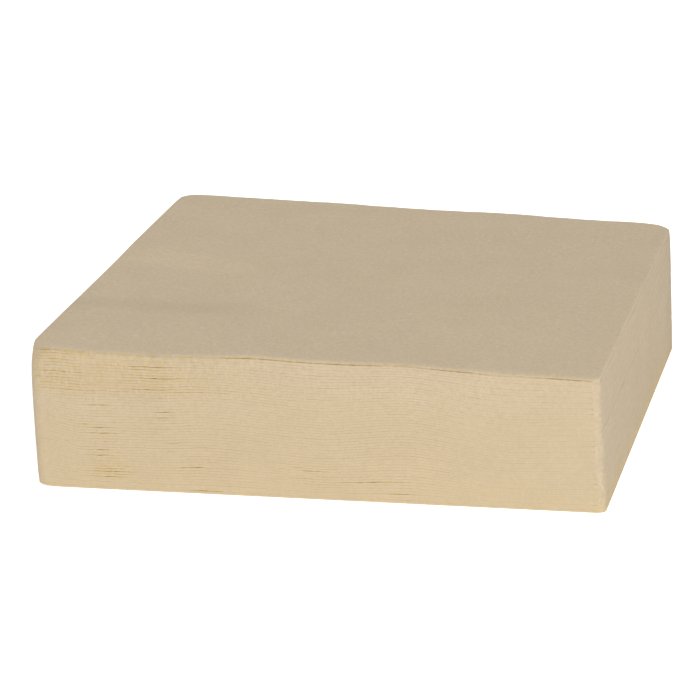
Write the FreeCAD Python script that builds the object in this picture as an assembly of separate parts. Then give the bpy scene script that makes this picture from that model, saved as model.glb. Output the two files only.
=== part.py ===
import FreeCAD, Part
import math
import os

os.makedirs("parts", exist_ok=True)

# A stack of square paper napkins, each folded twice into four layers.
# X runs along the front, from the open edges on the left to the second fold on the right.
# Y runs from the first folds at the front to the open edges at the back. Z is up.
# The stack stands on Z = 0, with the origin under its middle. All sizes are in millimetres.

# One napkin
OPEN_WIDTH = 330.0  # side that the second fold halves
OPEN_DEPTH = 330.0  # side that the first fold halves
LAYER = 0.34  # thickness of one layer of tissue
AIR_AT_FOLD = 0.08  # air between two layers, at the second fold
AIR_AT_EDGES = 0.113  # the same at the left, where the layers lie looser
NAPKINS = 25

# Corners of the folded napkin, seen from above
CORNER_RADIUS = 4.5
FOLD_CORNER_RADIUS = 3.0  # front right, where both folds meet
CORNER_FACETS = 2

# Ends of the folds
NOSE_DEPTH = 0.5  # how far back the front folds taper
NOSE_DROP = 0.2  # how much lower a front fold is at its very front
WRAP_BEVEL = 0.3  # softened edges of the second fold
BEND_LENGTH = 1.2  # hollow inside the second fold
BEND_AIR = 0.22  # height of that hollow

# Ripple that runs through the stack: share of the width, then height in the middle of the stack
RIPPLE = (
    (0.0, 1.4),
    (0.085, -1.0),
    (0.22, -0.6),
    (0.32, 0.5),
    (0.515, -0.9),
    (0.67, 1.2),
    (0.84, -1.7),
    (1.0, -0.2),
)
RIPPLE_REACH = 1.03  # height at which it would die out, as a share of the stack
RIPPLE_POWER = 2.4  # how suddenly it dies out towards the bottom and the top

# Worked out from the sizes above
WIDTH = OPEN_WIDTH / 2
DEPTH = OPEN_DEPTH / 2
LAYERS = 4
LEFT, RIGHT = -WIDTH / 2, WIDTH / 2
FRONT, BACK = -DEPTH / 2, DEPTH / 2
BEYOND = CORNER_RADIUS  # how far a cutting shape runs past the paper
WRAP_END = RIGHT - LAYER  # inside of the outer wrap
INNER_WRAP = WRAP_END - AIR_AT_FOLD
BEND_END = INNER_WRAP - LAYER  # inside of the inner wrap


def between(x, start, end):
    """Height at x on the line through two (x, height) points."""
    return start[1] + (end[1] - start[1]) * (x - start[0]) / (end[0] - start[0])


def crests():
    """The points of the ripple, in millimetres along X."""
    return [(LEFT + share * WIDTH, height) for share, height in RIPPLE]


def ripple(x):
    """Height of the ripple at x, where it is highest in the stack."""
    points = crests()
    for start, end in zip(points, points[1:]):
        if x <= end[0]:
            return between(x, start, end)
    return between(x, points[-2], points[-1])


def air(x):
    """Air between two layers of one napkin at x."""
    return between(x, (LEFT, AIR_AT_EDGES), (RIGHT, AIR_AT_FOLD))


def pitch(x):
    """Height of one folded napkin at x."""
    return LAYERS * LAYER + (LAYERS - 1) * air(x)


def swell(level):
    """Share of the ripple that is left between napkins number level and level + 1."""
    height = level / (NAPKINS * RIPPLE_REACH)
    return 1 - abs(2 * height - 1) ** RIPPLE_POWER


def level_height(level, x):
    return level * pitch(x) + swell(level) * ripple(x)


def layer_height(napkin, layer, above, x):
    """Height of the lower face of a layer, or of the upper one if above is 1."""
    share = (layer * (LAYER + air(x)) + above * LAYER) / pitch(x)
    low, high = level_height(napkin, x), level_height(napkin + 1, x)
    return low + share * (high - low)


def stations(start, end):
    """Places along X where a face of the paper bends, with both ends."""
    inner = [x for x, _ in crests() if start < x < end]
    return [start] + inner + [end]


def line(napkin, face, start, end, y, raised=0.0):
    """Points along one face of a layer, from left to right."""
    layer, above = face
    return [
        FreeCAD.Vector(x, y, layer_height(napkin, layer, above, x) + raised)
        for x in stations(start, end)
    ]


def polygon(points):
    return Part.makePolygon(points + points[:1])


def prism(points, direction):
    return Part.Face(polygon(points)).extrude(direction)


BOTTOM_FACE = (0, 0)
LOW_SLIT = ((0, 1), (1, 0))
MIDDLE_SLIT = ((1, 1), (2, 0))
HIGH_SLIT = ((2, 1), (3, 0))
TOP_FACE = (3, 1)
ALONG_Y = FreeCAD.Vector(0, DEPTH + 2 * BEYOND, 0)
START_Y = FRONT - BEYOND


def arc(centre_x, centre_y, radius, turn):
    """Points of a quarter round in plan, from the angle turn, anticlockwise."""
    steps = [turn + 90 * i / CORNER_FACETS for i in range(CORNER_FACETS + 1)]
    return [
        (
            centre_x + radius * math.cos(math.radians(angle)),
            centre_y + radius * math.sin(math.radians(angle)),
        )
        for angle in steps
    ]


def plan_prism(outline):
    """A tall block with the given outline in plan."""
    low, high = -2 * BEYOND, NAPKINS * pitch(LEFT) + 2 * BEYOND
    points = [FreeCAD.Vector(x, y, low) for x, y in outline]
    return prism(points, FreeCAD.Vector(0, 0, high - low))


def napkin_plan():
    """Outline of a folded napkin."""
    r, f = CORNER_RADIUS, FOLD_CORNER_RADIUS
    return plan_prism(
        arc(LEFT + r, FRONT + r, r, 180)
        + arc(RIGHT - f, FRONT + f, f, 270)
        + arc(RIGHT - r, BACK - r, r, 0)
        + arc(LEFT + r, BACK - r, r, 90)
    )


def fold_slit_plan():
    """Where the layers of a first fold lie apart: closed at the front and right."""
    f = FOLD_CORNER_RADIUS
    return plan_prism(
        [(LEFT - BEYOND, FRONT + LAYER)]
        + arc(RIGHT - f, FRONT + f, f - LAYER, 270)
        + [(WRAP_END, BACK + BEYOND), (LEFT - BEYOND, BACK + BEYOND)]
    )


def middle_slit_plan():
    """Where the two halves lie apart: closed at the right only."""
    f = FOLD_CORNER_RADIUS
    return plan_prism(
        [(LEFT - BEYOND, FRONT - BEYOND), (RIGHT - f, FRONT - BEYOND)]
        + arc(RIGHT - f, FRONT + f, f - (RIGHT - BEND_END), 270)
        + [(BEND_END, BACK + BEYOND), (LEFT - BEYOND, BACK + BEYOND)]
    )


def pad(napkin):
    """The napkin as one thick piece, with its softened right edge."""
    end = RIGHT - WRAP_BEVEL
    low = line(napkin, BOTTOM_FACE, LEFT - BEYOND, end, START_Y)
    high = line(napkin, TOP_FACE, LEFT - BEYOND, end, START_Y)
    wrap = [
        FreeCAD.Vector(RIGHT, START_Y, low[-1].z + WRAP_BEVEL),
        FreeCAD.Vector(RIGHT, START_Y, high[-1].z - WRAP_BEVEL),
    ]
    return prism(low + wrap + high[::-1], ALONG_Y)


def fold_slit(napkin):
    """Air between the layers of both first folds, which turns with the second fold."""
    start = LEFT - 2 * BEYOND
    under = line(napkin, LOW_SLIT[0], start, WRAP_END, START_Y)
    over = line(napkin, HIGH_SLIT[1], start, WRAP_END, START_Y)
    inner_over = line(napkin, HIGH_SLIT[0], start, INNER_WRAP, START_Y)
    inner_under = line(napkin, LOW_SLIT[1], start, INNER_WRAP, START_Y)
    return prism(under + over[::-1] + inner_over + inner_under[::-1], ALONG_Y)


def middle_slit(napkin):
    """Air between the two halves, with the hollow inside the second fold."""
    start, end = LEFT - 2 * BEYOND, BEND_END - BEND_LENGTH
    under = line(napkin, MIDDLE_SLIT[0], start, end, START_Y)
    over = line(napkin, MIDDLE_SLIT[1], start, end, START_Y)
    middle = (under[-1].z + over[-1].z) / 2
    bend = [
        FreeCAD.Vector(BEND_END - BEND_LENGTH / 2, START_Y, middle - BEND_AIR / 2),
        FreeCAD.Vector(BEND_END, START_Y, middle),
        FreeCAD.Vector(BEND_END - BEND_LENGTH / 2, START_Y, middle + BEND_AIR / 2),
    ]
    return prism(under + bend + over[::-1], ALONG_Y)


def solid_between(front_ring, back_ring):
    """A closed solid with flat sides between two rings of as many points."""
    faces = [Part.Face(polygon(front_ring)), Part.Face(polygon(back_ring))]
    for i, point in enumerate(front_ring):
        side = [front_ring[i - 1], point, back_ring[i], back_ring[i - 1]]
        faces.append(Part.Face(polygon(side)))
    return Part.Solid(Part.Shell(faces))


def wedge(napkin, lower, upper, end):
    """A cutter between two faces, which narrows towards the back; each side is (face, rise)."""
    rings = []
    for y, share in ((FRONT - NOSE_DEPTH, 2), (FRONT + NOSE_DEPTH, 0)):
        low = line(napkin, lower[0], LEFT - BEYOND, end, y, lower[1] + share * lower[2])
        high = line(napkin, upper[0], LEFT - BEYOND, end, y, upper[1] + share * upper[2])
        rings.append(low + high[::-1])
    return solid_between(*rings)


def front_taper(napkin):
    """Cutters that round off the front folds, from the bottom one up."""
    end = RIGHT + BEYOND
    under, over = MIDDLE_SLIT
    middle_end = RIGHT - FOLD_CORNER_RADIUS
    return [
        wedge(napkin, (BOTTOM_FACE, -BEYOND, 0), (BOTTOM_FACE, 0, NOSE_DROP), end),
        wedge(napkin, (under, 0, -NOSE_DROP), (over, 0, NOSE_DROP), middle_end),
        wedge(napkin, (TOP_FACE, 0, -NOSE_DROP), (TOP_FACE, BEYOND, 0), end),
    ]


def folded_napkin(napkin, plans):
    outer, fold_gap, middle_gap = plans
    paper = pad(napkin).common(outer)
    slits = [fold_slit(napkin).common(fold_gap), middle_slit(napkin).common(middle_gap)]
    return paper.cut(slits + front_taper(napkin)).removeSplitter()


def main():
    plans = (napkin_plan(), fold_slit_plan(), middle_slit_plan())
    for napkin in range(NAPKINS):
        shape = folded_napkin(napkin, plans)
        name = "napkin_%02d" % (napkin + 1)
        print(name, len(shape.Solids), "solid,", len(shape.Faces), "faces,", shape.isValid())
        shape.Solids[0].exportStep("parts/" + name + ".step")


main()
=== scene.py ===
import math

import bpy
import numpy as np
from mathutils import Matrix, Vector


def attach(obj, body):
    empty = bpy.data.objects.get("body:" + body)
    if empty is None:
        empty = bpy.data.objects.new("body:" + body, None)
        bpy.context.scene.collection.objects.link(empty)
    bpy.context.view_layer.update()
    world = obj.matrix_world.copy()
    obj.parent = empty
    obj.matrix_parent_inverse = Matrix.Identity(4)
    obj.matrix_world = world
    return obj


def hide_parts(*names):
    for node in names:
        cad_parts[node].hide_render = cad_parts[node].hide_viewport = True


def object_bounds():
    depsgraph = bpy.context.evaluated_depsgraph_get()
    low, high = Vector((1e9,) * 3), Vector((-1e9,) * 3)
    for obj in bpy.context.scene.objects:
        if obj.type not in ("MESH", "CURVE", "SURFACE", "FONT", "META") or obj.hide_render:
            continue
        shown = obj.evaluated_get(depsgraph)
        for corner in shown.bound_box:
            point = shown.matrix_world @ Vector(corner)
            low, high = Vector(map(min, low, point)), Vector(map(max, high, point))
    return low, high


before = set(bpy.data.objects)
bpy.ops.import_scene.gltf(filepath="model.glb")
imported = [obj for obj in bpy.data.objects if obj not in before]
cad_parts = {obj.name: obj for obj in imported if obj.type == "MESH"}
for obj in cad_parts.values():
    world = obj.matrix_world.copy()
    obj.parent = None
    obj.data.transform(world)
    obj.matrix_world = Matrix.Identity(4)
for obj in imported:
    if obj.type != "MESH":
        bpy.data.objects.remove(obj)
cad_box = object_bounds()

# Lengths here are in millimetres until a mesh is made. X runs along the front, Y to the back, Z up.
MM = 0.001

# The stack, as in the frame
low_corner, high_corner = cad_box
LEFT, FRONT = low_corner[0] / MM, low_corner[1] / MM
RIGHT, BACK = high_corner[0] / MM, high_corner[1] / MM
WIDTH, DEPTH = RIGHT - LEFT, BACK - FRONT
NODES = sorted(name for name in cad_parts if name.startswith("napkin_"))
NAPKINS = len(NODES)
FOLD_SEED, SEAM_SEED = 100, 900  # of each napkin's unevenness, and of each seam's

# One napkin
LAYER = 0.34
AIR = 0.097

# Height of the stack at its corners
HEIGHT_LEFT_FRONT, HEIGHT_RIGHT_FRONT = 41.6, 38.4
HEIGHT_LEFT_BACK, HEIGHT_RIGHT_BACK = 46.4, 40.6
BACK_SAG = 0.25  # how much lower the middle of the back is
LEAN_X, LEAN_Y = -1.65, 3.0  # how far the top has slipped
TWIST = math.radians(-0.35)  # how far it has turned
LOOSE_LEFT = 0.4  # how much further the left ends reach at the bottom than at the top
UNEVEN_LEFT, UNEVEN_REACH = 0.13, 60.0  # how uneven they are, once this far from the front

# Ripple through the stack, close to that of the solids: share of the width, height
RIPPLE = (
    (0.0, -0.7),
    (0.085, -1.0),
    (0.22, -0.5),
    (0.32, 0.5),
    (0.515, -0.9),
    (0.67, 1.2),
    (0.84, -1.7),
    (1.0, -0.3),
)
RIPPLE_REACH = 1.03  # height at which it would die out, as a share of the stack
RIPPLE_POWER = 2.6  # how suddenly it dies out towards the bottom and the top

# Ripple that is added at the top, along its front edge
TOP_RIPPLE = (
    (0.0, -0.8),
    (0.05, 0.0),
    (0.085, -0.35),
    (0.22, -0.5),
    (0.32, -0.3),
    (0.41, 0.4),
    (0.515, 0.3),
    (0.59, 0.25),
    (0.66, 0.4),
    (0.74, 0.2),
    (0.84, 0.05),
    (1.0, -0.2),
)
TOP_RIPPLE_POWER = 4  # how suddenly it dies out downwards

LEFT_KICK = 2.3  # how far the left ends of the lower napkins turn up
KICK_SHARE = 0.085  # how far in they do, as a share of the width
KICK_LEVELS = (4, 12, 17)  # whole from the first to the second, and gone at 0 and at the third

# Slack trough in the top napkin. Places are shares of the depth from the back, and of the
# width from the left.
TROUGH_FALL, TROUGH_RISE = 0.66, 0.2  # heights of its back and front sides
FALL_MIDDLE, FALL_HALF = 0.41, 0.065  # place and half length of its back side, at the left edge
FALL_SKEW, FALL_NARROWING = 0.27, 0.1  # how much both change along the width
FALL_STEADY = 0.25  # share of the width from which they stay the same
RISE_MIDDLE, RISE_LENGTH = 0.73, 0.09  # place and length of its front side
BACK_FADE, FRONT_FADE = (0.30, 0.11), (0.42, 0.22)  # where each side ends, and how softly
FADE_CHANGE = (0.52, 0.16)  # where one fade gives way to the other, and how softly
EDGE_SHARE, EDGE_REACH = 0.5, 10.0  # how much flatter it is at the very left, and how far in
SLACK_SHADING = 7.8  # how many times its height its shading shows

# Creases at the right edge of the top napkin, and droop at its left edge
CREASE_PLACES, CREASE_HALF, CREASE_REACH = (0.66, 0.76), 0.02, 5.0
CREASE_DEPTH = 0.15
EDGE_DROOP, EDGE_DROOP_REACH = 0.3, 5.0

# Ends of the folds
NOSE_DEPTH = 0.18  # first folds, at the front
NOSE_SQUARENESS = 9.0
TOP_NOSE = 0.8  # how much more the top napkin's upper fold is rounded
TOP_NOSE_DEPTH, TOP_NOSE_FROM = 0.6, 5.0  # how far in that reaches, and where it starts at the left
WRAP_DEPTH = 1.8  # second fold, at the right
WRAP_SQUARENESS = 45.0  # of its outside
TOP_SQUARENESS = 4.0  # of the upper edge of the top napkin, which nothing presses
BEND_SQUARENESS = 2.0  # of its inside
BEND_LENGTH, BEND_AIR = 1.2, 0.13  # hollow inside the second fold: length, most height
BEND_CLOSING = 0.6  # how much lower it is at the front
CLOSED_LENGTH = 10.0  # how far in a first fold keeps its two layers together
PRESSED = 0.0615  # how far the two halves close up at the front, as a share of half a napkin
TAPER_LENGTH = 0.7  # how far in a seam that gapes at the front closes again
GAPE_SCALE = 0.16  # opening of a seam with a share of 1, in half napkins
GAPE_LEFT = 3.0  # how far in from the left no seam gapes

# Unevenness along the folds: wave lengths, size
CLEAR_WAVES = ((9, 15, 34), 0.5)  # of how clearly a fold shows
LOOSE_WAVES = ((5, 11, 31), 0.015)  # of the gaps between napkins
RAGGED_WAVES = ((2.3, 3.7, 5.1), 0.6)  # of the seams that gape
MIDDLE_WAVES = ((9, 23), 0.012)  # of the gap between a napkin's halves
EDGE_WAVES = ((11, 29, 71), 0.04)  # of the line of the first folds
BACK_WAVES, BACK_WAVE_POWER = ((13, 41, 90), 0.25), 8  # of the open edges at the back
TREMBLE_WAVES = ((3.7, 6.1, 11, 19), 0.05)  # of the seams, at the front only
TREMBLE_DEPTH = 2.0
SHIFT_X, SHIFT_Y, SHIFT_FOLD = 0.015, 0.02, 0.02  # how far napkins and their first folds stray

# Corners seen from above
CORNER_RADIUS = {"left_front": 3.6, "right_front": 2.4, "right_back": 3.6, "left_back": 4.8}
# What the top napkins' corners have more
TOP_CORNER_EXTRA = {"left_front": 6.0, "right_front": 0.5, "right_back": 2.2, "left_back": 0.5}
FOOT_EXTRA, FOOT_LIFT = 0.7, 0.5  # the same for the lowest ones at the left front, which lift too
CORNER_TURN = math.radians(78)  # how far round the left front corner the folded edges reach
TOP_CORNER_POWER, FOOT_POWER = 10, 14  # how suddenly both start, towards the top and the bottom
CORNER_REACH = 6.0  # how far in the outermost napkins' corners curl
TOP_DROOP = {"left_front": 0.5, "right_front": 0.3, "right_back": 0.9, "left_back": 0.1}
TOP_DROOP_POWER = 6  # how suddenly the droop starts, towards the top

# Seams that gape at the front: level in napkins from the bottom, middle and half length
# along X, share. Half a level is the middle of a napkin.
OPEN_SEAMS = (
    (24.5, -71, 13, 0.50),
    (24.5, -45, 8, 0.44),
    (24.5, -26, 12, 0.38),
    (24.5, 5, 22, 0.38),
    (24.5, 40, 14, 0.35),
    (24.5, 75, 8, 0.48),
    (24, -73, 9, 0.18),
    (23, -76, 8, 0.16),
    (22.5, -46, 6, 0.45),
    (22, -48, 6, 0.20),
    (21, -74, 9, 0.28),
    (21, -46, 7, 0.15),
    (20.5, -44, 6, 0.45),
    (20, -76, 7, 0.20),
    (20, -48, 7, 0.15),
    (19, -74, 10, 0.16),
    (19, -38, 12, 0.17),
    (18.5, -47, 5, 0.45),
    (18, -70, 14, 0.20),
    (18, -36, 12, 0.15),
    (15.5, -61.5, 3, 0.48),
    (14.5, -42.3, 2, 0.48),
    (13.5, -42.8, 1.6, 0.48),
    (12, -66.5, 2, 0.26),
    (12, -36, 2.5, 0.22),
    (11.5, -61.5, 3.3, 0.45),
    (10.5, -61.5, 3.3, 0.45),
    (9, -40.5, 2.6, 0.28),
    (9, -60, 2, 0.14),
    (7.5, -62, 2.4, 0.45),
    (7, -56, 1.5, 0.16),
    (6.5, -62.5, 2.4, 0.43),
    (6, -4.5, 2.5, 0.24),
    (5.5, 0.5, 3, 0.44),
    (4.5, -35, 3.5, 0.44),
    (4, -1.5, 2.5, 0.22),
    (4, -59, 4, 0.20),
    (3.5, -59, 5, 0.46),
    (3.5, 17, 8, 0.43),
    (3, -57, 4, 0.20),
    (2.5, -60, 3.5, 0.47),
    (1.5, 24, 3, 0.44),
    (0.5, -32, 4, 0.48),
)

# Painted light and shade: ochre light and shade in the folds and seams, and the floor's glow low
# down
FOLD_TINT_DEPTH = 1.5  # how far in the first folds get the painted warm bounce light
TINT_DEPTH = 2.0  # how far in the slits get the painted ochre shade
FINE_TINT = 0.6  # strength of the painted ochre shade in the fine seams, where they are clear
WHOLE_TINT = 0.15  # share of a gaping seam at which it is full
HOOK_INSET, HOOK_HALF = 0.8, 1.0  # place and half length of the painted shade at the hook where a second fold closes
DENT_SHADE_PLACE, DENT_SHADE_LEVELS = (-59.5, 5.0), (3.5, 2.2)  # painted shade as of a shallow hollow low on the left, which the mesh doesn't have: middle, half length
DENT_SHADE_TINT = 0.25
UPPER_TINT = 0.24  # strength of the painted ochre shade on the upper napkins' folds, at the left
UPPER_LEVELS = (15, 4)  # napkin above which it starts, and over how many
UPPER_PLACE = (85, 60)  # distance from the left where it has gone, and over what length
TINT_START = 3.0  # how far in from the left the ochre is full
LOW_REACH = 9.0  # how far up the painted glow of the white floor warms the paper

# How clearly the folds show at the front: share of the width, strength
CLEARNESS = (
    (0.0, 0.1),
    (0.02, 0.3),
    (0.05, 0.85),
    (0.12, 0.42),
    (0.3, 0.6),
    (0.65, 0.62),
    (0.8, 0.2),
    (1.0, 0.07),
)
CLEAR_LEVEL, CLEAR_RANGE = 0.65, (0.1, 1.3)  # share of it that a napkin has: usual, and limits
PLAIN_LEFT = 0.6  # how much less clear the folds of the lower napkins are at the very left
PLAIN_LEVELS, PLAIN_PLACE = (18, 4), (20, 8)  # where that ends, as for the tint

# Where the mesh has its points: along X, and back from the front
COLUMN_ZONES = ((0.0, 0.75, 60.0), (60.0, 1.5, 150.0), (150.0, 0.9, 163.2))  # start, step, end
WRAP_STEPS = 10
NOSE_STEPS = 8
SHARP_ANGLE = math.radians(50)  # faces that meet at more than this don't blend
ROWS = (165.0, 164.6, 162.0, 140.0, 100.0, 60.0, 30.0, 12.0, 5.0, 2.4, 1.3, 0.6)
INNER_ROWS = (165.0, 162.0, 100.0, 30.0, 8.0, 2.0, 0.7)
TOP_ROWS = (
    ROWS[:3]
    + tuple(range(156, 120, -6))
    + tuple(range(120, 30, -2))  # across the trough
    + (24.0, 17.0)
    + ROWS[-5:]
)
TOP_INNER_ROWS = INNER_ROWS[:2] + tuple(range(150, 30, -10)) + INNER_ROWS[3:]


def smooth_between(x, points):
    """A curve through the points with no overshoot."""
    places, heights = np.array(points).T
    index = np.clip(np.searchsorted(places, x) - 1, 0, len(places) - 2)
    share = (x - places[index]) / (places[index + 1] - places[index])
    return heights[index] + (heights[index + 1] - heights[index]) * ease(share)


def ease(share):
    """0 up to a share of 0, 1 from a share of 1, and a smooth rise between."""
    share = np.clip(share, 0, 1)
    return share * share * (3 - 2 * share)


def ripple(level, x, y):
    """Height that the ripple adds to a level of the stack."""
    u, v = (x - LEFT) / WIDTH, np.clip((y - FRONT) / DEPTH, 0, 1)
    first, last, end = KICK_LEVELS
    kick = LEFT_KICK * np.clip(min(level / first, (end - level) / (end - last), 1), 0, 1)
    main = swell(level) * smooth_between(u, RIPPLE)
    top = (1 - v) * smooth_between(u, TOP_RIPPLE) - v * BACK_SAG * 4 * u * (1 - u)
    top = (level / NAPKINS) ** TOP_RIPPLE_POWER * top
    return main + top + kick * np.clip(1 - u / KICK_SHARE, 0, 1)


def swell(level):
    return 1 - abs(2 * level / (NAPKINS * RIPPLE_REACH) - 1) ** RIPPLE_POWER


def wander(x, rng, lengths, size):
    """Smooth random waves along x."""
    total = np.zeros_like(x)
    for length in lengths:
        total += np.sin(2 * math.pi * (x / length + rng.random()))
    return total * size / math.sqrt(len(lengths))


def bell(x, middle, half):
    return np.exp(-(((x - middle) / half) ** 2))


def stack_height(x, y):
    """Height of the whole stack at a place in plan."""
    u = np.clip((x - LEFT) / WIDTH, 0, 1)
    v = np.clip((y - FRONT) / DEPTH, 0, 1)
    front = HEIGHT_LEFT_FRONT + (HEIGHT_RIGHT_FRONT - HEIGHT_LEFT_FRONT) * u
    back = HEIGHT_LEFT_BACK + (HEIGHT_RIGHT_BACK - HEIGHT_LEFT_BACK) * u
    return front + (back - front) * v


def trough(x, y):
    """Height of the trough in the top napkin, and how much of it is left at this place."""
    u, v = np.clip((x - LEFT) / WIDTH, 0, 1), (BACK - y) / DEPTH
    steady = np.minimum(u, FALL_STEADY)
    middle, half = FALL_MIDDLE + FALL_SKEW * steady, FALL_HALF - FALL_NARROWING * steady
    falls = ease((v - middle) / (2 * half) + 0.5)
    rises = ease((v - RISE_MIDDLE) / RISE_LENGTH + 0.5)
    behind, before = (ease((end - u) / length) for end, length in (BACK_FADE, FRONT_FADE))
    change, length = FADE_CHANGE
    left = behind + (before - behind) * ease((v - change) / length)
    return TROUGH_RISE * rises - TROUGH_FALL * falls, left


def top_waves(x, y):
    """The trough, two short creases at the right edge, and a little droop at the left one."""
    v = (BACK - y) / DEPTH
    height, left = trough(x, y)
    creases = sum(bell(v, place, CREASE_HALF) for place in CREASE_PLACES)
    creases = -CREASE_DEPTH * creases * bell(x, RIGHT, CREASE_REACH)
    slack = height * left * (1 - EDGE_SHARE * bell(x, LEFT, EDGE_REACH))
    return slack + creases - EDGE_DROOP * bell(x, LEFT, EDGE_DROOP_REACH)


def tremble(level, x, y):
    """Fine waves in the seam between two napkins, at the front only."""
    waves = wander(x, np.random.default_rng(SEAM_SEED + level), *TREMBLE_WAVES)
    return waves * np.exp(-np.clip(y - FRONT, 0, None) / TREMBLE_DEPTH) * (0 < level < NAPKINS)


def corner_curl(share, x, y):
    """The corners of the top napkins droop, and the left front corner of the lowest lifts a little.
    """
    total = 0
    for name, droop in TOP_DROOP.items():
        cx = LEFT if "left" in name else RIGHT
        cy = FRONT if "front" in name else BACK
        near = np.exp(-((x - cx) ** 2 + (y - cy) ** 2) / CORNER_REACH**2)
        total = total - near * droop * share**TOP_DROOP_POWER
        if name == "left_front":
            total = total + near**2 * FOOT_LIFT * (1 - share) ** FOOT_POWER
    return total


def level_height(level, x, y):
    """Height of the seam between two napkins."""
    share = level / NAPKINS
    rippled = share * stack_height(x, y) + ripple(level, x, y)
    waves = top_waves(x, y) * (level == NAPKINS) + tremble(level, x, y)
    return rippled + waves + corner_curl(share, x, y)


def round_corners(x, y, share):
    """Moves points of a sharp square into one with rounded corners."""
    for name, radius in CORNER_RADIUS.items():
        radius = radius + TOP_CORNER_EXTRA[name] * share**TOP_CORNER_POWER
        if name == "left_front":
            radius = radius + FOOT_EXTRA * (1 - share) ** FOOT_POWER
        side = -1 if "left" in name else 1
        end = -1 if "front" in name else 1
        cx = (LEFT if side < 0 else RIGHT) - side * radius
        cy = (FRONT if end < 0 else BACK) - end * radius
        a, b = side * (x - cx) / radius, end * (y - cy) / radius
        inside = (a > 0) & (b > 0)
        new_a = a * np.sqrt(np.clip(1 - b * b / 2, 0, 1))
        new_b = b * np.sqrt(np.clip(1 - a * a / 2, 0, 1))
        if name == "left_front":
            new_a, new_b = turn_corner(new_a, new_b)
        x = np.where(inside, cx + side * radius * new_a, x)
        y = np.where(inside, cy + end * radius * new_b, y)
    return x, y


def turn_corner(across, ahead):
    """Slides points round the left front corner, so that the folds reach further round it."""
    angle, radius = np.arctan2(across, ahead), np.hypot(across, ahead)
    middle = math.pi / 4
    further = np.where(
        angle < middle,
        angle * CORNER_TURN / middle,
        CORNER_TURN + (angle - middle) * (math.pi / 2 - CORNER_TURN) / middle,
    )
    angle = angle + (further - angle) * np.clip(radius, 0, 1) ** 4
    return radius * np.sin(angle), radius * np.cos(angle)


def rounded(steps, squareness):
    """Cosine and sine of a half turn, from -90 to 90 degrees, made squarer."""
    angle = np.linspace(-math.pi / 2, math.pi / 2, steps + 1)
    cosine, sine = np.cos(angle), np.sin(angle)
    power = 2 / squareness
    return np.clip(cosine, 0, 1) ** power, np.sign(sine) * np.abs(sine) ** power


def section(rows, inner_rows):
    """Closed outline of one first fold, seen from the right.

    Each point is a distance from the front, and a height that is 0 at the middle of the
    napkin and 1 at its outside.
    """
    half = (4 * LAYER + 3 * AIR) / 2
    slit = AIR / 2 / half
    middle = (AIR + LAYER) / half
    loose = [slit * min(1, row / CLOSED_LENGTH) for row in inner_rows]
    back, up = rounded(NOSE_STEPS, NOSE_SQUARENESS)
    nose = [
        (NOSE_DEPTH * (1 - b), (1 + slit) / 2 - u * (1 - slit) / 2) for b, u in zip(back, up)
    ]
    points = [(row, 1.0) for row in rows] + nose
    points += [(row, slit) for row in reversed(inner_rows)]
    points += [(row, middle - gap) for row, gap in zip(inner_rows, loose)]
    points += [(LAYER, middle)]
    points += [(row, middle + gap) for row, gap in zip(inner_rows[::-1], loose[::-1])]
    return np.array(points)


def stations():
    """Places along the sheet's width: X, and the angle turned through in the second fold."""
    centre = RIGHT - WRAP_DEPTH
    zones = [np.arange(start, end, step) for start, step, end in COLUMN_ZONES]
    straight = np.append(LEFT + np.concatenate(zones), centre)
    x = np.concatenate([straight, np.full(WRAP_STEPS - 1, centre), straight[::-1]])
    angle = np.linspace(-math.pi / 2, math.pi / 2, WRAP_STEPS + 1)[1:-1]
    end = np.full(len(straight), math.pi / 2)
    return x, np.concatenate([-end, angle, end])


def gape(x, level):
    """How far a seam at this level stands open at the front: 0.3 is wide."""
    total = np.zeros_like(x)
    for seam, middle, length, share in OPEN_SEAMS:
        if abs(seam - level) < 0.1:
            total += share * bell(x, middle, length)
    return total * (1 - bell(x, LEFT, GAPE_LEFT))


def second_fold(angle, rise, top):
    """How far round the second fold each point is: shares of its depth, and of half a napkin."""
    outside = np.full(len(angle), WRAP_SQUARENESS)
    if top:
        outside[angle > 0] = TOP_SQUARENESS
    squareness = BEND_SQUARENESS + (outside[:, None] - BEND_SQUARENESS) * rise[None, :] ** 4
    cosine, sine = np.cos(angle)[:, None], np.sin(angle)[:, None]
    turn = np.where(cosine > 1e-6, np.abs(cosine) ** (2 / squareness), 0)
    half = np.sign(sine) * np.abs(sine) ** (2 / squareness)
    return turn, half


def clearness(number, x, rng):
    """How clearly the first folds of a napkin show."""
    clear = smooth_between((x - LEFT) / WIDTH, CLEARNESS)
    clear = clear * np.clip(CLEAR_LEVEL + wander(x, rng, *CLEAR_WAVES), *CLEAR_RANGE)
    below, level_length = PLAIN_LEVELS
    before, length = PLAIN_PLACE
    lower, at_left = ease((below - number) / level_length), ease((LEFT + before - x) / length)
    return clear * (1 - PLAIN_LEFT * lower * at_left)


def fold_heights(number, x, upper, clear, near_front, rise, rng):
    """Height of each point from the middle of the napkin, 0, to its outside, 1."""
    loose = clear * np.clip(wander(x, rng, *LOOSE_WAVES), 0, 1)
    ragged = GAPE_SCALE * (1 + wander(x, rng, *RAGGED_WAVES))
    low_gape = loose + ragged * gape(x, number)
    high_gape = loose[::-1] + ragged * gape(x, number + 1)
    outside = (low_gape * (1 - upper) + high_gape * upper)[:, None]
    middle = wander(x, rng, *MIDDLE_WAVES) * (0.2 + clear) + ragged * gape(x, number + 0.5)
    middle = (np.clip(middle, 0, 1) - PRESSED)[:, None]
    hollow = BEND_AIR * rng.uniform(0.1, 1) ** 2
    bend = hollow * bell(x, RIGHT - WRAP_DEPTH, BEND_LENGTH)[:, None]
    height = rise[None, :] * (1 - outside * near_front)
    inside = middle * near_front + bend * (1 - BEND_CLOSING * near_front)
    return height + inside * (1 - height)


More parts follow.
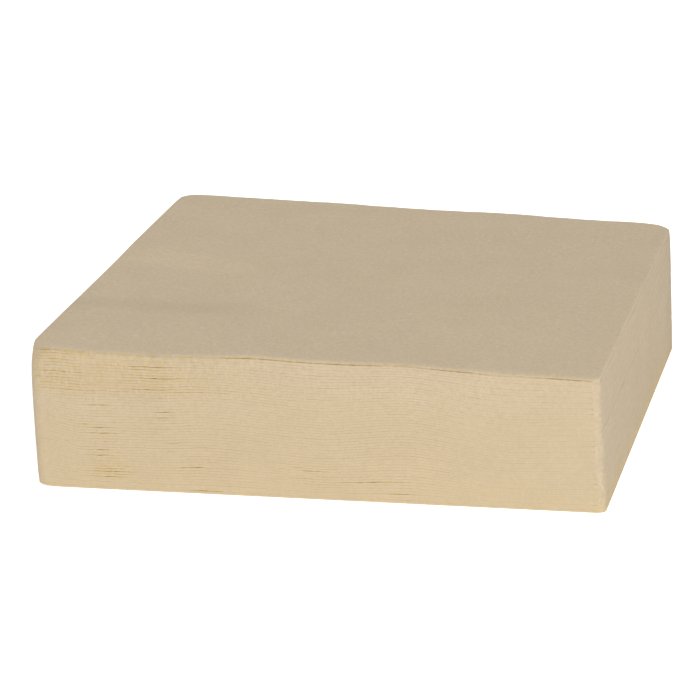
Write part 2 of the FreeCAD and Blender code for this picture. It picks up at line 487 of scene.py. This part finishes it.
def lean(x, y, z):
    """Turns and shifts points, the more the higher they are."""
    share = z / HEIGHT_LEFT_FRONT
    sine, cosine = np.sin(TWIST * share), np.cos(TWIST * share)
    return x * cosine - y * sine + LEAN_X * share, x * sine + y * cosine + LEAN_Y * share


def napkin_mesh(number):
    """Vertices and faces of one folded napkin, and how deep in shade each vertex is."""
    rng = np.random.default_rng(FOLD_SEED + number)
    top = number == NAPKINS - 1
    rows, inner_rows = (TOP_ROWS, TOP_INNER_ROWS) if top else (ROWS, INNER_ROWS)
    distance, rise = section(rows, inner_rows).T
    x, angle = stations()
    upper = (1 + np.sin(angle)) / 2
    near_front = np.exp(-distance / TAPER_LENGTH)[None, :]
    turn, half = second_fold(angle, rise, top)
    clear = clearness(number, x, rng)
    height = fold_heights(number, x, upper, clear, near_front, rise, rng)

    shift_x, shift_y = rng.normal(0, SHIFT_X), rng.normal(0, SHIFT_Y)
    edge = clear * (wander(x, rng, *EDGE_WAVES) + np.sin(angle) * rng.normal(0, SHIFT_FOLD))
    near_back = (distance / DEPTH)[None, :] ** BACK_WAVE_POWER
    back_edge = near_back * wander(x, rng, *BACK_WAVES)[:, None]
    order = np.arange(len(distance))
    nose = (order >= len(rows)) & (order <= len(rows) + NOSE_STEPS)
    ahead = distance[None, :] * np.where(nose[None, :], clear[:, None], 1)
    plan_x = x[:, None] + WRAP_DEPTH * turn * height
    plan_y = FRONT + ahead + edge[:, None] * near_front - np.abs(back_edge)
    share = (number + 0.5 + half * height / 2) / NAPKINS
    plan_x, plan_y = round_corners(plan_x, plan_y, share)
    plan_x, plan_y = plan_x + shift_x, plan_y + shift_y

    low = level_height(number, plan_x, plan_y)
    high = level_height(number + 1, plan_x, plan_y)
    z = (low + high) / 2 + half * height * (high - low) / 2
    if top:
        softer = (TOP_NOSE * upper * (1 - bell(x, LEFT, TOP_NOSE_FROM)))[:, None]
        z = z - softer * rise[None, :] ** 2 * np.exp(-distance / TOP_NOSE_DEPTH)[None, :] ** 2

    uneven = np.where(angle > 0, rng.normal(0, UNEVEN_LEFT), rng.normal(0, UNEVEN_LEFT))[:, None]
    uneven = uneven * np.clip(distance / UNEVEN_REACH, 0, 1)[None, :]
    looser = LOOSE_LEFT * (1 - number / NAPKINS) + uneven
    plan_x = plan_x - looser * np.clip(-plan_x / RIGHT, 0, 1)
    plan_x, plan_y = lean(plan_x, plan_y, z)
    points = np.stack([plan_x, plan_y, z], axis=-1).reshape(-1, 3) * MM
    seam = painted_seam_shade(number, x, upper, distance, len(rows))
    return points, swept_faces(len(x), len(distance)), seam


def painted_seam_shade(number, x, upper, distance, rows):
    """How deep in shade each point of a fold's end is, painted into its colour as ochre."""
    outer = (gape(x, number) * (1 - upper) + gape(x, number + 1) * upper) / WHOLE_TINT
    inner = gape(x, number + 0.5) / WHOLE_TINT
    inner = inner + bell(x, RIGHT - WRAP_DEPTH - HOOK_INSET, HOOK_HALF)
    fine = FINE_TINT * smooth_between((x - LEFT) / WIDTH, CLEARNESS)
    above, level_length = UPPER_LEVELS
    before, length = UPPER_PLACE
    upper_left_shade = UPPER_TINT * ease((number - above) / level_length)
    upper_left_shade = upper_left_shade * ease((LEFT + before - x) / length)
    dent_shade = DENT_SHADE_TINT * bell(x, *DENT_SHADE_PLACE) * bell(number, *DENT_SHADE_LEVELS)
    tint = np.zeros((len(x), len(distance)))
    for step in range(NOSE_STEPS + 1):
        edge = abs(2 * step / NOSE_STEPS - 1) ** 2
        strength = fine + (inner if step > NOSE_STEPS / 2 else outer)
        tint[:, rows + step] = edge * strength + dent_shade + upper_left_shade
    slits = rows + NOSE_STEPS + 1
    tint[:, slits:] = np.exp(-distance[slits:] / TINT_DEPTH)
    outside_second_fold = np.abs(upper - 0.5) > 0.45
    straight = np.clip((x - LEFT) / TINT_START, 0, 1) * outside_second_fold
    return np.clip(tint * straight[:, None], 0, 1).reshape(-1)


def swept_faces(columns, ring):
    """Quads between the stations' outlines, and caps over the open edges at both ends."""
    first = np.arange(columns - 1)[:, None] * ring
    along = np.arange(ring)[None, :]
    following = (along + 1) % ring
    quads = np.stack(
        [first + along, first + ring + along, first + ring + following, first + following], axis=-1
    ).reshape(-1, 4)
    last = (columns - 1) * ring
    cap = list(range(ring))
    caps = [tuple(cap), tuple(last + i for i in cap[::-1])]
    return [tuple(q) for q in quads.tolist()] + caps


def set_values(mesh, name, values):
    """Stores a number at each vertex, for the material."""
    mesh.attributes.new(name, "FLOAT", "POINT").data.foreach_set("value", values)


def add_napkin(number, material):
    points, faces, seam = napkin_mesh(number)
    mesh = bpy.data.meshes.new("folded_" + NODES[number])
    mesh.from_pydata(points.tolist(), [], faces)
    mesh.validate()
    mesh.polygons.foreach_set("use_smooth", [True] * len(mesh.polygons))
    mesh.set_sharp_from_angle(angle=SHARP_ANGLE)
    piece = bpy.data.objects.new("folded_" + NODES[number], mesh)
    bpy.context.scene.collection.objects.link(piece)
    mesh.materials.append(material)
    x, y, z = np.array([vertex.co[:] for vertex in mesh.vertices]).T / MM
    at_front = np.clip(2 - (y - FRONT) / FOLD_TINT_DEPTH, 0, 1)
    # the first folds at the front: they get painted bounce light, softer relief, and fewer spots
    # and flecks
    set_values(mesh, "fold", at_front * np.clip((RIGHT - x) / 2 - 1, 0, 1))
    # how much painted ochre shade each point gets
    set_values(mesh, "seam", seam)
    if number == NAPKINS - 1:
        slack, left = trough(x - LEAN_X, y - LEAN_Y)
        set_values(mesh, "slack", slack * MM)
        set_values(mesh, "slack_left", left)
    # how much of the floor's painted glow each point gets
    set_values(mesh, "low", np.exp(-z / LOW_REACH))
    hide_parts(NODES[number])
    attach(piece, "root")
    return piece


class Nodes:
    """Short helpers around one material's node tree."""

    def __init__(self, name):
        self.material = bpy.data.materials.new(name)
        self.material.use_nodes = True
        self.tree = self.material.node_tree
        self.tree.nodes.clear()

    def add(self, kind, inputs=None, **settings):
        node = self.tree.nodes.new(kind)
        for key, value in settings.items():
            setattr(node, key, value)
        for key, value in (inputs or {}).items():
            socket = node.inputs[key]
            if isinstance(value, bpy.types.NodeSocket):
                self.tree.links.new(value, socket)
            else:
                socket.default_value = value
        return node

    def stored(self, name):
        """A number that the mesh stores at its vertices."""
        return self.add("ShaderNodeAttribute", attribute_name=name).outputs["Fac"]

    def noise(self, place, scale, detail):
        inputs = {"Vector": place, "Scale": scale, "Detail": detail}
        return self.add("ShaderNodeTexNoise", inputs).outputs["Fac"]

    def stretched(self, place, scale):
        return self.add("ShaderNodeMapping", {"Vector": place, "Scale": scale}).outputs[0]

    def within(self, value, low, high):
        """0 where the value is low, and 1 where it is high."""
        inputs = {"Value": value, "From Min": low, "From Max": high}
        return self.add("ShaderNodeMapRange", inputs).outputs[0]

    def between(self, value, low, high):
        """low where the value is 0, and high where it is 1."""
        inputs = {"Value": value, "To Min": low, "To Max": high}
        return self.add("ShaderNodeMapRange", inputs).outputs[0]

    def ramp(self, value, *stops):
        node = self.add("ShaderNodeValToRGB", {"Fac": value})
        for element, (position, colour) in zip(node.color_ramp.elements, stops):
            element.position, element.color = position, colour
        return node.outputs["Color"]

    def mix(self, base, over, share, blend="MULTIPLY"):
        inputs = {"Factor": share, 6: base, 7: over}
        return self.add("ShaderNodeMix", inputs, data_type="RGBA", blend_type=blend).outputs[2]

    def bump(self, height, strength, distance, under=None):
        inputs = {"Height": height, "Strength": strength, "Distance": distance}
        if under is not None:
            inputs["Normal"] = under
        return self.add("ShaderNodeBump", inputs).outputs[0]


# Colours of the tissue, and of the light and shade painted onto it
TISSUE_DARK, TISSUE_PALE = (0.618, 0.501, 0.349, 1), (0.636, 0.517, 0.361, 1)
SPOT, NO_SPOT = (0.90, 0.89, 0.87, 1), (1, 1, 1, 1)
FLECK = (0.71, 0.62, 0.46, 1)
# painted warm light bounced inside the first folds at the front
FOLD_BOUNCE_TINT = (0.982, 0.967, 0.921, 1)
# painted ochre shade in the seams and slits
SEAM_SHADE_TINT = (0.92, 0.80, 0.38, 1)
FLOOR_GLOW_TINT = (1.05, 1.06, 1.04, 1)  # painted glow of the floor near the bottom
FOOT_GLOW_TINT = (1.04, 1.0, 0.86, 1)  # the same painted glow, warmer, at the very bottom, but for the first folds


def tissue_colour(n, place, mottle, fleck):
    fold, low = n.stored("fold"), n.stored("low")
    cloud = n.noise(place, 60.0, 4.0)
    base = n.ramp(cloud, (0.35, TISSUE_DARK), (0.65, TISSUE_PALE))
    spots = n.ramp(mottle, (0.3, SPOT), (0.7, NO_SPOT))
    colour = n.mix(base, spots, n.between(fold, 1.0, 0.55))
    pale = n.between(fold, n.within(fleck, 0.6, 0.9), 0.0)
    colour = n.mix(colour, FLECK, pale, "MIX")
    # Painted warm bounce light in the first folds at the front.
    colour = n.mix(colour, FOLD_BOUNCE_TINT, fold)
    # Painted glow of the white floor low down, warmer at the very bottom but for the first folds.
    colour = n.mix(colour, FLOOR_GLOW_TINT, low)
    foot_glow = n.add("ShaderNodeMath", {0: low, 1: 3.0}, operation="POWER").outputs[0]
    colour = n.mix(colour, FOOT_GLOW_TINT, n.between(fold, foot_glow, 0.0))
    # Painted ochre shade in the seams and slits, broken into dashes.
    dashes = n.within(n.noise(n.stretched(place, (700.0, 150.0, 500.0)), 1.0, 2.0), 0.33, 0.53)
    shade = n.add("ShaderNodeMath", {0: n.stored("seam"), 1: dashes}, operation="MULTIPLY")
    return n.mix(colour, SEAM_SHADE_TINT, shade.outputs[0])


def tissue_material():
    """Soft unbleached tissue: mottled, with pale flecks and fine crepe, with painted ochre light
    and shade in its folds and seams, and the floor's glow painted low down.
    """
    n = Nodes("tissue_paper")
    place = n.add("ShaderNodeTexCoord").outputs["Object"]
    mottle = n.noise(place, 900.0, 3.0)
    fleck = n.noise(n.stretched(place, (1600.0, 500.0, 700.0)), 1.0, 2.0)
    relief = n.bump(mottle, n.between(n.stored("fold"), 0.35, 0.2), 0.0002)
    crepe = n.bump(fleck, 0.3, 0.0002, relief)
    soft = n.bump(n.stored("slack"), n.stored("slack_left"), SLACK_SHADING, crepe)
    shader = n.add(
        "ShaderNodeBsdfPrincipled",
        {
            "Base Color": tissue_colour(n, place, mottle, fleck),
            "Roughness": 0.95,
            "Specular IOR Level": 0.15,
            "Subsurface Weight": 0.25,
            "Subsurface Radius": (1.0, 0.9, 0.7),
            "Subsurface Scale": 0.0006,
            "Normal": soft,
        },
    )
    n.add("ShaderNodeOutputMaterial", {"Surface": shader.outputs[0]})
    return n.material


# The studio, in metres and watts
FLOOR_HALF = 3.0
WORLD_LIGHT = 0.62
LAMP_SIZE, LAMP_TARGET = 0.9, (0, 0, 0.02)
LAMPS = (
    ("front_light", (0.56, -1.06, 0.34), 8.5),
    ("back_light", (-0.55, 0.9, 0.6), 2.0),
    ("left_light", (-1.3, -0.9, 0.45), 3.0),
)


def floor_material():
    """A white floor that keeps the stack's shadow."""
    n = Nodes("white_floor")
    plain = n.add("ShaderNodeBsdfDiffuse", {"Color": (0.96, 0.96, 0.96, 1)}).outputs[0]
    glow = n.add("ShaderNodeEmission", {"Color": (1, 1, 1, 1), "Strength": 0.6}).outputs[0]
    both = n.add("ShaderNodeAddShader", {0: plain, 1: glow}).outputs[0]
    seen = n.add("ShaderNodeLightPath").outputs["Is Camera Ray"]
    mix = n.add("ShaderNodeMixShader", {"Fac": seen, 1: plain, 2: both})
    n.add("ShaderNodeOutputMaterial", {"Surface": mix.outputs[0]})
    return n.material


def add_floor():
    half = FLOOR_HALF
    mesh = bpy.data.meshes.new("floor")
    corners = [(-half, -half, 0), (half, -half, 0), (half, half, 0), (-half, half, 0)]
    mesh.from_pydata(corners, [], [(0, 1, 2, 3)])
    floor = bpy.data.objects.new("floor", mesh)
    bpy.context.scene.collection.objects.link(floor)
    mesh.materials.append(floor_material())


def add_world():
    """An even grey light, which the camera sees as white."""
    world = bpy.data.worlds.new("studio")
    world.use_nodes = True
    nodes, links = world.node_tree.nodes, world.node_tree.links
    nodes.clear()
    light = nodes.new("ShaderNodeBackground")
    light.inputs["Color"].default_value = (1, 1, 1, 1)
    light.inputs["Strength"].default_value = WORLD_LIGHT
    white = nodes.new("ShaderNodeBackground")
    white.inputs["Color"].default_value = (1, 1, 1, 1)
    white.inputs["Strength"].default_value = 1.0
    path = nodes.new("ShaderNodeLightPath")
    mix = nodes.new("ShaderNodeMixShader")
    links.new(path.outputs["Is Camera Ray"], mix.inputs[0])
    links.new(light.outputs[0], mix.inputs[1])
    links.new(white.outputs[0], mix.inputs[2])
    out = nodes.new("ShaderNodeOutputWorld")
    links.new(mix.outputs[0], out.inputs[0])
    bpy.context.scene.world = world


def add_lamp(name, place, power):
    lamp = bpy.data.lights.new(name, "AREA")
    lamp.size = LAMP_SIZE
    lamp.energy = power
    lamp_object = bpy.data.objects.new(name, lamp)
    lamp_object.location = place
    towards = Vector(LAMP_TARGET) - Vector(place)
    lamp_object.rotation_euler = towards.to_track_quat("-Z", "Y").to_euler()
    bpy.context.scene.collection.objects.link(lamp_object)


# The photograph's viewpoint, found from the edges of the stack. Lengths are in metres.
CAMERA_TURN = math.radians(13.0)
CAMERA_RISE = math.radians(16.515)
CAMERA_ROLL = math.radians(-1.60)
CAMERA_DISTANCE = 0.9054
CAMERA_RIGHT = -0.00749
CAMERA_UP = 0.01903
LENS = 150.8  # in millimetres


def add_camera():
    sin_a, cos_a = math.sin(CAMERA_TURN), math.cos(CAMERA_TURN)
    sin_e, cos_e = math.sin(CAMERA_RISE), math.cos(CAMERA_RISE)
    back = Vector((sin_a * cos_e, -cos_a * cos_e, sin_e))
    right = Vector((cos_a, sin_a, 0))
    up = right.cross(back) * -1
    place = back * CAMERA_DISTANCE + right * CAMERA_RIGHT + up * CAMERA_UP
    sin_r, cos_r = math.sin(CAMERA_ROLL), math.cos(CAMERA_ROLL)
    rolled_right = right * cos_r + up * sin_r
    rolled_up = up * cos_r - right * sin_r
    axes = Matrix((rolled_right, rolled_up, back)).transposed()
    data = bpy.data.cameras.new("camera")
    data.lens = LENS
    data.sensor_width = 36.0
    data.clip_start = 0.01
    camera = bpy.data.objects.new("camera", data)
    camera.matrix_world = Matrix.Translation(place) @ axes.to_4x4()
    bpy.context.scene.collection.objects.link(camera)
    bpy.context.scene.camera = camera


def main():
    bpy.context.scene.view_settings.view_transform = "Standard"
    add_camera()
    add_world()
    for name, place, power in LAMPS:
        add_lamp(name, place, power)
    add_floor()
    tissue = tissue_material()
    for number in range(NAPKINS):
        add_napkin(number, tissue)
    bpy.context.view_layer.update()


main()
